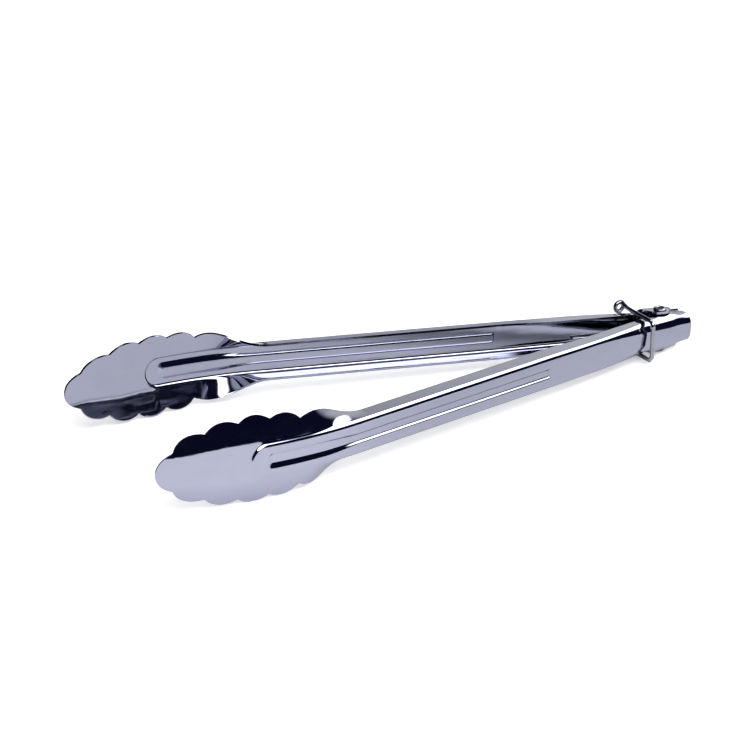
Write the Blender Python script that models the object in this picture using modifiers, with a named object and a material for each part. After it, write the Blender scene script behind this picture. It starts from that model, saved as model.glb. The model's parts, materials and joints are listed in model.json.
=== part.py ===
"""Spring loaded kitchen tongs, lying on their side edges and open.

The heads point along -X, the hinge is at the +X end and +Z is up. The origin is the middle of the underside
of the box round the tongs. Both arms are the same sheet steel stamping: one is the other turned half a turn
about the tongs' own axis, so each has one ear outside the other's. All sizes below are in metres.
"""

import math

import bmesh
import bpy
import numpy as np

# ---- Driving dimensions ----------------------------------------------------------------------------------
SHEET = 0.0010            # thickness of the stamped sheet
GAP = 0.0003              # clearance between parts that touch
OPEN_ANGLE = math.radians(9.26)   # each arm stands this far from the tongs' axis

# The arm, measured along it from the rivet: rear end behind it, tip of the head in front
REAR = -0.0139
WEB_OFFSET = 0.0081       # rivet's axis to the outer face of the web
HALF_HEIGHT = 0.0078      # half the height of the channel
ROUND_REAR = 0.0076       # height of the rounding between web and flange at the hinge end
ROUND_ARM = 0.0028        # and along the arm
ROUND_FROM, ROUND_TO = -0.002, 0.050
ROUND_POWER = 1.3         # above 1, the rounding starts slowly at the web
FLARE = math.radians(8.0)      # a flange leans out from square by this, once past the ring's travel
FLARE_FROM, FLARE_TO = 0.050, 0.080
REAR_TAPER, TAPER_END = 0.0014, -0.0030   # the channel is lower towards its rear end
FLANGE = 0.0072           # depth of a flange, web's outer face to free edge
SPLAY = math.radians(2.76)        # the channel leans out by this from its hinge end
SPLAY_FROM, SPLAY_TO = 0.0115, 0.0145
HEAD_BEND = math.radians(21.5)    # the head curves back in by this
HEAD_BEND_FROM, HEAD_BEND_TO = 0.1913, 0.2674

# Ears round the rivet
EAR_REACH = 0.0034        # past the rivet's axis
EAR_HALF_WIDTH = 0.0020
EAR_BLEND = 0.0060
JOGGLE = 0.0017           # one ear steps out by this to pass over the other arm's ear
JOGGLE_FULL, JOGGLE_END = 0.0075, 0.0115
NOTCH_FROM = -0.0060      # behind this the joggled side has no flange
NOTCH_HALF_HEIGHT = 0.0061
EAR_HOLE_RADIUS = 0.0023

# Groove pressed along the web
GROOVE_FROM, GROOVE_TO = 0.0806, 0.2395
GROOVE_RAMP = 0.0008      # length of its square rear end
GROOVE_RUNOUT = 0.0030    # length of its front end
GROOVE_DEPTH = 0.0011
GROOVE_FLOOR = 0.0012         # half width of its floor
GROOVE_EDGE, GROOVE_WIDE = 0.0026, 0.0042   # half widths at the web's face, in the arm and in the head
GROOVE_WIDEN_FROM, GROOVE_WIDEN_TO = 0.192, 0.214

# Where the flanges turn out into the head's wings
WING_FROM, WING_FULL = 0.187, 0.221
ROOT_LENGTH = 0.0169      # developed half width of the wings' roots
ROOT_WIDEST = 0.2140
ROOT_FALL = 0.0012        # loss of width from there to the first dip between scallops
STEP_LENGTH = 0.0022      # the step beside the pad, measured round the section
STEP_ANGLE = math.radians(41.0)   # its steepest slope
STEP_RELAX = 0.0009
WING_ANGLE = math.radians(15.0)   # slope of a wing beside the pad
EDGE_ANGLE = math.radians(19.0)   # slope of a wing at WING_WIDTH, measured round the section
WING_WIDTH = 0.0200

# Raised pad in the middle of the head
PAD_END = 0.2465
PAD_RADIUS = 0.0078
PAD_EDGE = 0.0013         # width of the step at the pad's round end
PAD_FADE = 0.0040         # the wings change from one section to the other over this
BLADE_DEPTH = 0.0008      # the blade in front of the pad lies this far below it
BLADE_FLAT, BLADE_TURNED = 0.0052, 0.0108   # it is flat, then curves up to BLADE_ANGLE
BLADE_ANGLE = math.radians(18.0)

# Outline of the head: an ellipse with scallops standing on it
ELLIPSE_CENTRE, ELLIPSE_LENGTH, ELLIPSE_HEIGHT = 0.2435, 0.0405, 0.0169
SCALLOP_HEIGHT = 0.0022
DIP_ANGLES = [math.radians(a) for a in (29.6, 57.8, 80.2, 100.0, 121.2)]
TIP_ANGLE = math.radians(2.5)     # the outline starts here, as a short blunt tip

# Rivet with a hollow upper end
RIVET_RADIUS = 0.0020
RIVET_HEAD_RADIUS = 0.0036
RIVET_HEAD_HEIGHT = 0.0012
RIVET_RIM_RADIUS = 0.0030
RIVET_RIM_HEIGHT = 0.0008
RIVET_BORE_RADIUS = 0.0014
RIVET_BORE_DEPTH = 0.0050

# Torsion spring
SPRING_WIRE = 0.0015
SPRING_RADIUS = 0.0036    # rivet's axis to the middle of the wire
SPRING_TURNS = 4
SPRING_POINTS_PER_TURN = 13
SPRING_HALF_HEIGHT = 0.0037
SPRING_LEG_END = 0.040    # how far along the arm a leg reaches

# Lock ring, to the middle of its wire
RING_WIRE = 0.0021
RING_FORWARD = 0.0129     # its place in front of the rivet
RING_TOP = 0.0094
RING_FAR_SIDE = 0.0130
RING_NEAR_TOP, RING_NEAR_BOTTOM = 0.0125, 0.0134   # the near side leans out
RING_CORNER = 0.0029
EYE_RADIUS = 0.0022
EYE_FORWARD, EYE_UP = 0.0138, 0.0085


# ---- Small helpers ---------------------------------------------------------------------------------------
def ramp(value, start, end):
    """0 at start, 1 at end, smooth between."""
    t = np.clip((np.asarray(value, float) - start) / (end - start), 0.0, 1.0)
    return t * t * (3.0 - 2.0 * t)


def mix(a, b, share):
    return a + (b - a) * share


def running_sum(step_values):
    """Trapezium rule: the integral of unit-spaced samples, from 0."""
    means = 0.5 * (step_values[1:] + step_values[:-1])
    return np.concatenate([[0.0], np.cumsum(means)])


def steel(name, colour, roughness):
    material = bpy.data.materials.new(name)
    material.use_nodes = True
    shader = material.node_tree.nodes["Principled BSDF"]
    shader.inputs["Base Color"].default_value = (*colour, 1.0)
    shader.inputs["Metallic"].default_value = 1.0
    shader.inputs["Roughness"].default_value = roughness
    return material


def add_object(name, data, collection, location=(0, 0, 0), rotation=(0, 0, 0)):
    obj = bpy.data.objects.new(name, data)
    obj.location = location
    obj.rotation_euler = rotation
    collection.objects.link(obj)
    return obj


def as_cutter(obj, parent):
    obj.parent = parent
    obj.hide_render = True
    obj.display_type = "WIRE"
    return obj


def cut(obj, cutter, name):
    modifier = obj.modifiers.new(name, "BOOLEAN")
    modifier.operation = "DIFFERENCE"
    modifier.solver = "EXACT"
    modifier.object = cutter


# ---- The arm ---------------------------------------------------------------------------------------------
def centreline(stations):
    """Where the web's outer face runs: distance forward, distance out from the rivet's axis, and direction."""
    step = 0.0005
    s = np.arange(-0.03, 0.31, step)
    bent = np.clip((s - HEAD_BEND_FROM) / (HEAD_BEND_TO - HEAD_BEND_FROM), 0.0, 1.0)
    angle = SPLAY * ramp(s, SPLAY_FROM, SPLAY_TO) - HEAD_BEND * bent
    forward = running_sum(np.cos(angle)) * step
    out = running_sum(np.sin(angle)) * step
    forward -= np.interp(0.0, s, forward)
    out += WEB_OFFSET - np.interp(0.0, s, out)
    return (np.interp(stations, s, forward), np.interp(stations, s, out), np.interp(stations, s, angle))


def round_share():
    """Height of the rounding between web and flange as a share of its length round the section."""
    shares = np.linspace(0.0, 1.0, 401)
    return float(np.mean(np.cos(0.5 * math.pi * shares**ROUND_POWER)))


def half_section(station, joggled):
    """Half of the sheet's section at a station, from the middle out: arc length, height and depth inward.

    The slope is 0 over the web, rises round the corner, and then stays close to square along a flange, or
    falls back and rises slowly over a wing. Its integral is the section.
    """
    step = 0.00005
    arc = np.arange(0.0, 0.034, step)
    wing = float(ramp(station, WING_FROM, WING_FULL))
    tall = HALF_HEIGHT - REAR_TAPER * (1.0 - float(ramp(station, REAR, TAPER_END)))
    height = mix(ROUND_REAR, ROUND_ARM, float(ramp(station, ROUND_FROM, ROUND_TO))) + tall - HALF_HEIGHT
    web = tall - height
    if joggled:
        web += JOGGLE * (1.0 - float(ramp(station, JOGGLE_FULL, JOGGLE_END)))
    turn = mix(height / round_share(), STEP_LENGTH, wing)
    right = 0.5 * math.pi - FLARE * float(ramp(station, FLARE_FROM, FLARE_TO))
    step_angle, wing_angle, edge_angle = (mix(right, a, wing) for a in (STEP_ANGLE, WING_ANGLE, EDGE_ANGLE))
    rising = step_angle * np.clip((arc - web) / turn, 0.0, 1.0) ** ROUND_POWER
    corners = [web + turn, web + turn + STEP_RELAX, WING_WIDTH]
    beyond = np.interp(arc, corners, [step_angle, wing_angle, edge_angle])
    slope = np.where(arc < web + turn, rising, beyond)
    return arc, running_sum(np.cos(slope)) * step, running_sum(np.sin(slope)) * step, web, turn


def flange_depth(station):
    ear = 1.0 - float(ramp(abs(station), EAR_HALF_WIDTH, EAR_HALF_WIDTH + EAR_BLEND))
    return FLANGE + (WEB_OFFSET + EAR_REACH - FLANGE) * ear


def outline():
    """Stations and half heights of the head's edge, from the last dip to the tip: scallops on an ellipse."""
    stations, heights = [], []
    ends = [-DIP_ANGLES[0]] + DIP_ANGLES
    for low, high in reversed(list(zip(ends[:-1], ends[1:]))):
        tip = low < 0.0
        shares = np.linspace(1.0, 0.5 + TIP_ANGLE / (high - low), 6) if tip else np.linspace(1.0, 0.0, 6)[:-1]
        angle = low + (high - low) * shares
        bulge = 4.0 * shares * (1.0 - shares) * SCALLOP_HEIGHT
        across, along = ELLIPSE_HEIGHT * np.cos(angle), ELLIPSE_LENGTH * np.sin(angle)
        size = np.hypot(across, along)
        stations += list(ELLIPSE_CENTRE + ELLIPSE_LENGTH * np.cos(angle) + bulge * across / size)
        heights += list(ELLIPSE_HEIGHT * np.sin(angle) + bulge * along / size)
    return stations, heights


def arm_rows():
    """Each row of the sheet: its station and, in the head, the half height of its edge."""
    rows = [(s, None) for s in np.linspace(REAR, JOGGLE_END, 13)]
    rows += [(s, None) for s in np.linspace(SPLAY_TO, ROUND_TO, 6)]
    rows += [(s, None) for s in np.linspace(ROUND_TO + 0.010, GROOVE_FROM - 2 * GROOVE_RAMP, 2)]
    rows += [(GROOVE_FROM - GROOVE_RAMP, None), (GROOVE_FROM, None)]
    rows += [(s, None) for s in np.linspace(0.095, WING_FROM, 6)]
    rows += [(s, None) for s in np.linspace(WING_FROM, WING_FULL, 10)[1:]]
    rows += list(zip(*outline()))
    return rows


def pad_end(station, height):
    """1 in front of the pad's round end, 0 on the pad."""
    ahead = np.maximum(station - (PAD_END - PAD_RADIUS), 0.0)
    distance = np.hypot(ahead, height)
    return ramp(distance, PAD_RADIUS - PAD_EDGE, PAD_RADIUS) * ramp(ahead, 0.0, PAD_FADE)


def blade(height):
    """Depth of the blade in front of the pad: flat, then a parabola up to BLADE_ANGLE, then straight."""
    turned = BLADE_TURNED - BLADE_FLAT
    rise = np.maximum(height - BLADE_FLAT, 0.0)
    curved = np.minimum(rise, turned) ** 2 / (2.0 * turned) + np.maximum(rise - turned, 0.0)
    return BLADE_DEPTH + math.tan(BLADE_ANGLE) * curved


def half_row(station, edge_height, joggled):
    """Points of half a row, from the middle to the edge: height and depth inward of the outer face."""
    arc, height, depth, web, turn = half_section(station, joggled)
    if edge_height is None:
        in_flange = float(np.interp(web + turn, arc, depth))
        in_arm = web + turn + max(flange_depth(station) - in_flange, 0.0005)
        length = mix(in_arm, ROOT_LENGTH, float(ramp(station, WING_FROM, ROOT_WIDEST)))
        length -= ROOT_FALL * (max(station - ROOT_WIDEST, 0.0) / (WING_FULL - ROOT_WIDEST)) ** 2
    else:
        length = float(np.interp(edge_height, height, arc))
    rest = max(length, web + turn + 0.004) - web - turn
    edge = mix(GROOVE_EDGE, GROOVE_WIDE, float(ramp(station, GROOVE_WIDEN_FROM, GROOVE_WIDEN_TO)))
    flat = max(web, 1.15 * edge)
    marks = [0.0, GROOVE_FLOOR, edge, flat]
    marks += [mix(flat, web + turn, share) for share in (0.25, 0.5, 0.75, 1.0)]
    marks += [web + turn + rest * share for share in (0.2, 0.45, 0.72, 1.0)]
    marks = np.array(marks) * (length / marks[-1])
    z = np.interp(marks, arc, height)
    d = np.interp(marks, arc, depth)
    groove = (1.0 - ramp(z, GROOVE_FLOOR, edge)) * ramp(station, GROOVE_FROM - GROOVE_RAMP, GROOVE_FROM)
    groove = groove * (1.0 - ramp(station, GROOVE_TO - GROOVE_RUNOUT, GROOVE_TO))
    return z, mix(d, blade(z), pad_end(station, z)) + GROOVE_DEPTH * groove


def arm_mesh():
    """The outer face of the sheet as rows of points, joined into quads. Solidify gives it its thickness."""
    rows = arm_rows()
    forward, out, angle = centreline(np.array([s for s, _ in rows]))
    points = []
    for i, (station, edge_height) in enumerate(rows):
        upper_z, upper_d = half_row(station, edge_height, True)
        lower_z, lower_d = half_row(station, edge_height, False)
        z = np.concatenate([-lower_z[:0:-1], upper_z])
        d = np.concatenate([lower_d[:0:-1], upper_d])
        x = -(forward[i] + d * math.sin(angle[i]))
        y = out[i] - d * math.cos(angle[i])
        points.append(np.column_stack([x, y, z]))
    columns = len(points[0])
    faces = []
    for i in range(len(rows) - 1):
        for j in range(columns - 1):
            a, b = i * columns + j, (i + 1) * columns + j
            faces.append((a, b, b + 1, a + 1))
    mesh = bpy.data.meshes.new("arm")
    mesh.from_pydata(np.concatenate(points).tolist(), [], faces)
    mesh.update()
    return mesh


def ear_drill():
    mesh = bpy.data.meshes.new("ear_drill")
    work = bmesh.new()
    bmesh.ops.create_cone(work, cap_ends=True, segments=24, radius1=EAR_HOLE_RADIUS, radius2=EAR_HOLE_RADIUS,
                          depth=0.030)
    work.to_mesh(mesh)
    work.free()
    return mesh


def rear_notch():
    """A block that takes the flange off behind the joggled ear."""
    length, depth, height = 0.020, 0.040, 0.020
    mesh = bpy.data.meshes.new("rear_notch")
    work = bmesh.new()
    bmesh.ops.create_cube(work, size=1.0)
    bmesh.ops.scale(work, vec=(length, depth, height), verts=work.verts)
    centre = (-NOTCH_FROM + length / 2, 0.0, NOTCH_HALF_HEIGHT + height / 2)
    bmesh.ops.translate(work, vec=centre, verts=work.verts)
    work.to_mesh(mesh)
    work.free()
    return mesh


def add_arm(name, mesh, cutters, collection, cutter_collection, rotation, material):
    arm = add_object(name, mesh.copy(), collection, pivot(), rotation)
    arm.data.materials.append(material)
    sheet = arm.modifiers.new("Sheet", "SOLIDIFY")
    sheet.thickness = SHEET
    sheet.offset = -1.0
    sheet.use_even_offset = True
    sheet.use_quality_normals = True
    for label, cutter_mesh in cutters:
        cutter = as_cutter(add_object(name + "_" + label, cutter_mesh, cutter_collection), arm)
        cut(arm, cutter, label)
    return arm


def pivot():
    """The rivet's place: the box round the tongs is centred on the origin and its underside is at height 0."""
    tip = ELLIPSE_CENTRE + ELLIPSE_LENGTH + SCALLOP_HEIGHT
    forward, out, _ = centreline(np.array([REAR, tip]))
    reach = forward * math.cos(OPEN_ANGLE) - out * math.sin(OPEN_ANGLE)
    return (float(reach[0] + reach[1]) / 2, 0.0, max(outline()[1]))


# ---- Rivet -----------------------------------------------------------------------------------------------
def add_rivet(collection, material):
    """A turned profile: hollow upper end with a rolled rim, shank, and a low domed head below."""
    ear = HALF_HEIGHT + JOGGLE + GAP
    top = ear + RIVET_RIM_HEIGHT
    bottom = -ear - RIVET_HEAD_HEIGHT
    profile = [
        (0.0, top - RIVET_BORE_DEPTH),
        (RIVET_BORE_RADIUS, top - RIVET_BORE_DEPTH),
        (RIVET_BORE_RADIUS, top - 0.0004),
        (RIVET_BORE_RADIUS + 0.0003, top),
        (RIVET_RIM_RADIUS - 0.0005, top),
        (RIVET_RIM_RADIUS, top - 0.0005),
        (RIVET_RIM_RADIUS, ear),
        (RIVET_RADIUS, ear),
        (RIVET_RADIUS, -ear),
        (RIVET_HEAD_RADIUS, -ear),
        (RIVET_HEAD_RADIUS, -ear - 0.0004),
        (RIVET_HEAD_RADIUS - 0.0009, bottom + 0.0002),
        (RIVET_HEAD_RADIUS - 0.0020, bottom),
        (0.0, bottom),
    ]
    mesh = bpy.data.meshes.new("hinge_rivet")
    mesh.from_pydata([(r, 0.0, z) for r, z in profile], [(i, i + 1) for i in range(len(profile) - 1)], [])
    rivet = add_object("hinge_rivet", mesh, collection, pivot())
    rivet.data.materials.append(material)
    turn = rivet.modifiers.new("Turn", "SCREW")
    turn.steps = turn.render_steps = 24
    turn.use_merge_vertices = True
    turn.merge_threshold = 0.00001
    return rivet


# ---- Wires -----------------------------------------------------------------------------------------------
def add_wire(name, points, diameter, collection, material):
    curve = bpy.data.curves.new(name, "CURVE")
    curve.dimensions = "3D"
    curve.bevel_depth = diameter / 2
    curve.bevel_resolution = 2
    curve.use_fill_caps = True
    spline = curve.splines.new("POLY")
    spline.points.add(len(points) - 1)
    for point, place in zip(spline.points, points):
        point.co = (*place, 1.0)
    curve.materials.append(material)
    return add_object(name, curve, collection, pivot())


def spring_points():
    """The coil goes down from one leg's level to the other's, and each leg leaves it along a tangent.

    A leg leans out by leg_lean so that its end rests just inside the web at SPRING_LEG_END.
    """
    forward, out, _ = centreline(np.array([SPRING_LEG_END]))
    reach_out = float(out[0]) - SHEET - GAP - SPRING_WIRE / 2
    reach_forward = float(forward[0])
    distance = math.hypot(reach_forward, reach_out)
    leg_lean = math.atan2(reach_out, reach_forward) - math.asin(SPRING_RADIUS / distance) + OPEN_ANGLE
    leg = math.sqrt(distance**2 - SPRING_RADIUS**2)
    start = math.pi / 2 - leg_lean
    total = math.pi - 2 * leg_lean + 2 * math.pi * SPRING_TURNS
    count = int(SPRING_POINTS_PER_TURN * total / (2 * math.pi))
    turned = np.linspace(0.0, total, count)
    angle = start - turned
    level = SPRING_HALF_HEIGHT * (2.0 * turned / total - 1.0)
    coil = np.column_stack([SPRING_RADIUS * np.cos(angle), SPRING_RADIUS * np.sin(angle), level])
    first = coil[0] + leg * np.array([-math.cos(leg_lean), math.sin(leg_lean), 0.0])
    last = coil[-1] + leg * np.array([-math.cos(leg_lean), -math.sin(leg_lean), 0.0])
    return [tuple(p) for p in (first, *coil, last)]


def arc_points(centre, radius, start, end, count):
    angles = np.linspace(math.radians(start), math.radians(end), count)
    return [(centre[0] + radius * math.cos(a), centre[1] + radius * math.sin(a)) for a in angles]


def ring_points():
    """The eye first, standing along the far arm's top edge, then the loop round both arms, across the top,
    down the near side, under them and up the far side to just below the eye."""
    x = -RING_FORWARD
    eye = arc_points((EYE_FORWARD, EYE_UP), EYE_RADIUS, -215, 90, 17)
    points = [(-forward, RING_FAR_SIDE, up) for forward, up in eye]
    crest = EYE_UP + EYE_RADIUS
    points += [
        (-EYE_FORWARD + 0.0009, RING_FAR_SIDE - 0.0003, crest),
        (x + 0.0003, RING_FAR_SIDE - 0.0012, crest - 0.0002),
        (x, RING_FAR_SIDE - 0.0026, crest - 0.0006),
        (x, RING_FAR_SIDE - 0.0050, RING_TOP + 0.0002),
        (x, RING_FAR_SIDE - 0.0075, RING_TOP),
    ]
    level = RING_TOP - RING_CORNER
    corners = (
        ((RING_CORNER - RING_NEAR_TOP, level), 90),
        ((RING_CORNER - RING_NEAR_BOTTOM, -level), 180),
        ((RING_FAR_SIDE - RING_CORNER, -level), 270),
    )
    for centre, start in corners:
        points += [(x, y, z) for y, z in arc_points(centre, RING_CORNER, start, start + 90, 6)]
    points.append((x, RING_FAR_SIDE, EYE_UP - EYE_RADIUS - RING_WIRE / 2 - 2 * GAP))
    return points


# ---- Assembly --------------------------------------------------------------------------------------------
def new_collection(name):
    collection = bpy.data.collections.new(name)
    bpy.context.scene.collection.children.link(collection)
    return collection


def main():
    for obj in list(bpy.data.objects):
        bpy.data.objects.remove(obj, do_unlink=True)
    tongs = new_collection("kitchen_tongs")
    cutters = new_collection("cutters")
    mesh = arm_mesh()
    arm_cutters = [("drill", ear_drill()), ("notch", rear_notch())]
    add_arm("right_arm", mesh, arm_cutters, tongs, cutters, (0.0, 0.0, -OPEN_ANGLE),
            steel("right_arm_steel", (0.66, 0.66, 0.70), 0.12))
    add_arm("left_arm", mesh, arm_cutters, tongs, cutters, (math.pi, 0.0, OPEN_ANGLE),
            steel("left_arm_steel", (0.68, 0.68, 0.72), 0.12))
    add_rivet(tongs, steel("rivet_steel", (0.60, 0.60, 0.64), 0.20))
    add_wire("torsion_spring", spring_points(), SPRING_WIRE, tongs, steel("spring_steel", (0.45, 0.45, 0.48), 0.3))
    add_wire("lock_ring", ring_points(), RING_WIRE, tongs, steel("ring_steel", (0.62, 0.62, 0.66), 0.18))


main()
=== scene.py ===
"""Spring loaded kitchen tongs in polished stainless steel, lying open on a pale floor.

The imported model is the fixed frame. Each piece here is a finer surface of the same size and in the same
place: two stamped arms, the rivet, the torsion spring and the lock ring. All sizes are in metres. An arm is
measured by stations along it: station 0 is the rivet, and positive stations run towards the head.
"""

import json
import math

import bpy
import numpy as np
from bpy.props import FloatProperty, FloatVectorProperty, PointerProperty
from mathutils import Matrix, Vector


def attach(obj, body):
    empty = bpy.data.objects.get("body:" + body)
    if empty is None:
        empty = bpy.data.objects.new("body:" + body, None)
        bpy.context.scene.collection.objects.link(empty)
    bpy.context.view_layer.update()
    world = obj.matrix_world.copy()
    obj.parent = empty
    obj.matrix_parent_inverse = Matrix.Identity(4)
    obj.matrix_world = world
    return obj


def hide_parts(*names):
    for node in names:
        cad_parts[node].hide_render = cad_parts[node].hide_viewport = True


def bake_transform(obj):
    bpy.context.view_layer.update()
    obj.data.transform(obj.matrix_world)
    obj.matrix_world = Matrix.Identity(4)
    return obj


bl_info = {
    "name": "Kitchen Tongs",
    "version": (1, 0, 0),
    "blender": (4, 5, 0),
    "location": "3D View > Sidebar > Tongs",
    "description": "Builds polished steel kitchen tongs round a packed model",
    "category": "Add Mesh",
}

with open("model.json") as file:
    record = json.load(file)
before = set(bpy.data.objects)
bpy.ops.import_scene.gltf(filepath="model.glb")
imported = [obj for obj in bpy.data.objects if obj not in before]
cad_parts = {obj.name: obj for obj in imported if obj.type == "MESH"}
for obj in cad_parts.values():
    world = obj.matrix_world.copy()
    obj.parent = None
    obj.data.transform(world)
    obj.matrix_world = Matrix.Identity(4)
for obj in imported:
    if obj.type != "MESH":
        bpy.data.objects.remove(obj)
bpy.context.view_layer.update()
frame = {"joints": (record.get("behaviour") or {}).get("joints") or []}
JOINTS = {joint["name"]: joint for joint in frame["joints"]}
PIVOT = np.array(JOINTS["right_hinge"]["pos_m"])

# ---- Sizes shared with the frame -------------------------------------------------------------------------
OPEN_ANGLE = math.radians(9.26)
REAR = -0.0139
WEB_OFFSET = 0.0081
SPLAY, SPLAY_FROM, SPLAY_TO = math.radians(2.76), 0.0115, 0.0145
HEAD_BEND, HEAD_BEND_FROM, HEAD_BEND_TO = math.radians(21.5), 0.1913, 0.2674

ROUND_REAR, ROUND_FROM, ROUND_TO = 0.0076, -0.002, 0.050
ROUND_POWER = 1.3
FLARE, FLARE_FROM, FLARE_TO = math.radians(8.0), 0.050, 0.080
REAR_TAPER, TAPER_END = 0.0014, -0.0030

EAR_REACH, EAR_HALF_WIDTH, EAR_BLEND = 0.0034, 0.0020, 0.0060
EAR_HOLE_RADIUS = 0.0023
JOGGLE, JOGGLE_FULL, JOGGLE_END = 0.0017, 0.0075, 0.0115
NOTCH_FROM, NOTCH_HALF_HEIGHT = -0.0060, 0.0061

GROOVE_FROM, GROOVE_TO = 0.0806, 0.2395
GROOVE_RAMP, GROOVE_RUNOUT = 0.0008, 0.0030
GROOVE_FLOOR, GROOVE_EDGE, GROOVE_WIDE = 0.0012, 0.0026, 0.0042
GROOVE_WIDEN_FROM, GROOVE_WIDEN_TO = 0.192, 0.214
GROOVE_SHALLOW = 0.85     # its depth along the arm, as a share of its depth in the head

WING_FROM, WING_FULL = 0.187, 0.221
ROOT_LENGTH, ROOT_WIDEST, ROOT_FALL = 0.0169, 0.2140, 0.0012
STEP_LENGTH, STEP_RELAX, STEP_ANGLE = 0.0022, 0.0009, math.radians(36.0)
WING_ANGLE, EDGE_ANGLE, WING_WIDTH = math.radians(15.0), math.radians(19.0), 0.0200

PAD_END, PAD_RADIUS, PAD_EDGE, PAD_FADE = 0.2465, 0.0078, 0.0013, 0.0040
BLADE_DEPTH, BLADE_FLAT, BLADE_TURNED = 0.0008, 0.0044, 0.0100
BLADE_NARROWS, BLADE_NARROWS_FROM, BLADE_NARROWS_TO = 0.0018, 0.256, 0.276
BLADE_ANGLE = math.radians(18.0)

ELLIPSE_CENTRE, ELLIPSE_LENGTH, ELLIPSE_HEIGHT = 0.2435, 0.0405, 0.0169
DIP_ANGLES = np.radians([29.6, 57.8, 80.2, 100.0, 121.2])
TIP_ANGLE = math.radians(1.2)

RIVET_RADIUS, RIVET_HEAD_RADIUS, RIVET_HEAD_HEIGHT = 0.0020, 0.0036, 0.0012
RIVET_RIM_RADIUS, RIVET_RIM_HEIGHT = 0.0030, 0.0008
RIVET_BORE_RADIUS, RIVET_BORE_DEPTH = 0.0014, 0.0050
RIVET_ROLL, RIVET_LIP = 0.0006, 0.0003            # height of the rim's roll, and of the lower head's edge
RIVET_FLOOR_INSET, RIVET_FLOOR_RISE = 0.0003, 0.0004

SPRING_RADIUS, SPRING_TURNS, SPRING_HALF_HEIGHT, SPRING_LEG_END = 0.0036, 4, 0.0037, 0.040
GAP = 0.0003

RING_FORWARD, RING_TOP, RING_CORNER = 0.0129, 0.0094, 0.0029
RING_FAR_SIDE, RING_NEAR_TOP, RING_NEAR_BOTTOM = 0.0130, 0.0125, 0.0134
EYE_RADIUS, EYE_FORWARD, EYE_UP = 0.0022, 0.0138, 0.0085

# ---- How finely the surfaces are drawn -------------------------------------------------------------------
ARC_STEP, ARC_END = 0.00004, 0.034   # sampling of a section's slope
LINE_STEP = 0.00025                  # sampling of the centreline
OUTLINE_POINTS = 2400
ROW_LEAST = 0.00003                  # rows closer than this are dropped
ROW_POINTS = (16, 5, 14, 6, 13)      # over the groove, the web, the corner, its easing and the rest
GROOVE_REACH, WEB_REACH = 1.1, 1.15  # least ends of the first two of these, in half widths of the groove
HOLE_REACH = 0.84                    # faces with a corner nearer than this share of the hole's radius go
RIVET_SIDES = 72
WIRE_SIDES = 24
CURVE_POINTS = 13                    # on each rounded part of the rivet's outline
COIL_POINTS, LEG_POINTS = 60, 30     # to a turn of the coil, and along a leg
LEG_OVERLAP = 6                      # points at the end of the coil that a leg takes over

# ---- Camera and stage ------------------------------------------------------------------------------------
CAMERA_AZIMUTH, CAMERA_ELEVATION, CAMERA_ROLL = (math.radians(a) for a in (31.38, 22.72, 2.52))
CAMERA_DISTANCE = 1.07055
CAMERA_RIGHT, CAMERA_UP = -0.13213, -0.02176   # its place beside the line to the rivet
CAMERA_LENS = 110.05
FLOOR_TILT = math.radians(1.92)   # the tongs lie on their heads and on the rivet
FLOOR_TOUCH = -0.107              # where the heads touch it
FLOOR_HALF, FLOOR_GAP = 5.0, 0.0001
LAMP_PLACE, LAMP_SIZE = (0.2, -0.5, 1.9), 2.4

# ---- What the steel reflects -----------------------------------------------------------------------------
# A rise, fall or brightening runs between two sines of the angle above level, and a spread or edge between
# two dot products with a bearing.
WALL_BEARING, WALL_SPREAD = (0.87, 0.50, 0.0), (0.62, 0.84)
WALL_RISE, WALL_FALL = (0.05, 0.10), (0.66, 0.78)
WALL_BRIGHTENS, UPPER_WALL = (0.16, 0.38), (0.76, 0.77, 0.73)
BOX_BEARING, BOX_SPREAD = (0.60, -0.80, 0.0), (0.0, 0.20)
BOX_RISE, BOX_FALL = (0.55, 0.61), (0.78, 0.87)
CEILING_RISE = (0.89, 0.95)
REFLECTED_DARK_END = (-0.20, -0.165)        # where the floor as the steel shows it stops, along x; left of it is a painted dark reflection
# painted pool of light on the floor the steel shows, towards this bearing; outside it, painted shade at this
# share of its brightness
PAINTED_POOL_BEARING, PAINTED_POOL_EDGE, PAINTED_POOL_SHADE = (-0.50, -0.86, 0.0), (0.030, 0.110), 0.74
BOUNCES, BOUNCE_SHADE = 2.5, 0.8   # past this many reflections, this share is painted over with the room's dark colour, as painted shade between the parts

# ---- Finishes: lowest and highest roughness, strength of the streaks, height of the waves -----------------
ARM_POLISH = (0.035, 0.13, 0.8, 0.00008)
RIVET_POLISH = (0.12, 0.28, 0.4, 0.00003)
SPRING_POLISH = (0.16, 0.34, 0.5, 0.00002)
RING_POLISH = (0.09, 0.22, 0.5, 0.00002)
SMEAR_SHARE, MARK_SHARE, MARK_HEIGHT = 0.45, 0.55, 0.02
TINT = 0.93                          # how bright the steel is under a smear
# Scales of the marks per metre: along the sheet, then across it twice.
STREAKS, SCRATCHES = (60.0, 5200.0, 5200.0), (220.0, 9000.0, 9000.0)
SMEARS, WAVES = (70.0, 160.0, 160.0), (45.0, 170.0, 170.0)


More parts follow.
